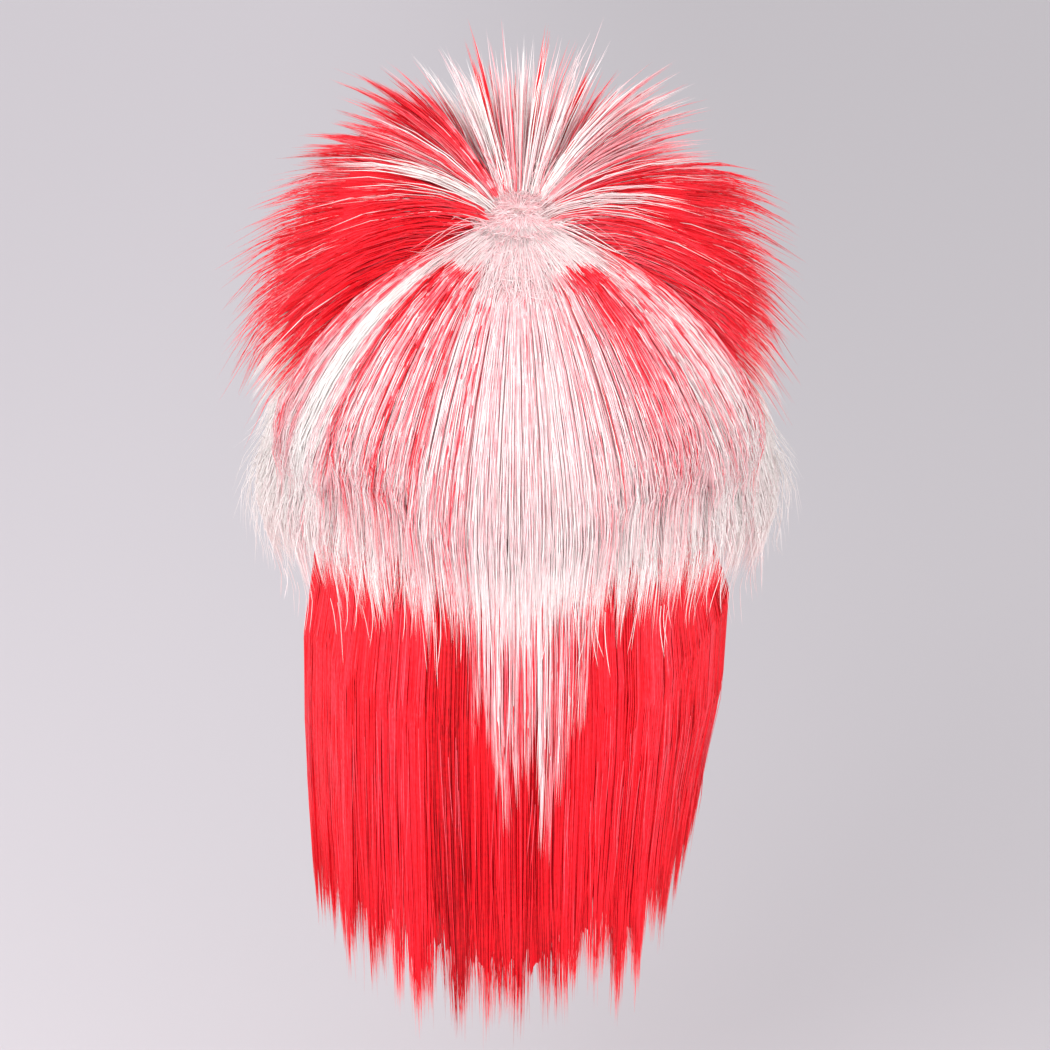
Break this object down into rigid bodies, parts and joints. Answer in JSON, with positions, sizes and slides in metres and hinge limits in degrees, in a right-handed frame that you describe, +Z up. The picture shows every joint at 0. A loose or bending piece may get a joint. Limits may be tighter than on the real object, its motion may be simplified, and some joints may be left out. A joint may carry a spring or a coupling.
{
  "type": "mullet wig",
  "caption": "Spiky mullet wig on a stretch cap: short hair bursting from the whorl, a cropped band round the head and a long tail down the back, in red and white.",
  "frame": {"origin": "inside top of the cap, where the crown of the head touches it", "axes": "+Z up, +Y the way the wearer looks, +X the wearer's right; the tail hangs behind, towards -Y and -Z"},
  "size_m": [0.2901, 0.2757, 0.4949],
  "materials": {
    "red_hair": "glossy red synthetic hair fibre",
    "white_hair": "off-white synthetic hair fibre with a little pink mixed in",
    "cap_net": "matt knitted stretch net",
    "edge_elastic": "matt ribbed elastic tape"
  },
  "bodies": {
    "root": {"cap_net": "cap_net", "edge_band": "edge_elastic", "whorl_closure": "white_hair", "tail_red": "red_hair", "tail_stripe": "white_hair", "white_band": "white_hair", "wing_left_high": "red_hair", "wing_right_high": "red_hair", "wing_left_upper": "red_hair", "wing_right_upper": "red_hair", "wing_left_middle": "red_hair", "wing_right_middle": "red_hair", "wing_left_low": "red_hair", "wing_right_low": "red_hair", "crown_high": "white_hair", "crown_upper": "white_hair", "crown_middle": "white_hair", "crown_low": "white_hair", "fringe_left": "red_hair", "fringe_centre": "white_hair", "fringe_right": "red_hair", "back_white_left": "white_hair", "back_red_left": "red_hair", "back_white_centre": "white_hair", "back_red_right": "red_hair", "back_white_right": "white_hair"}
  },
  "joints": []
}
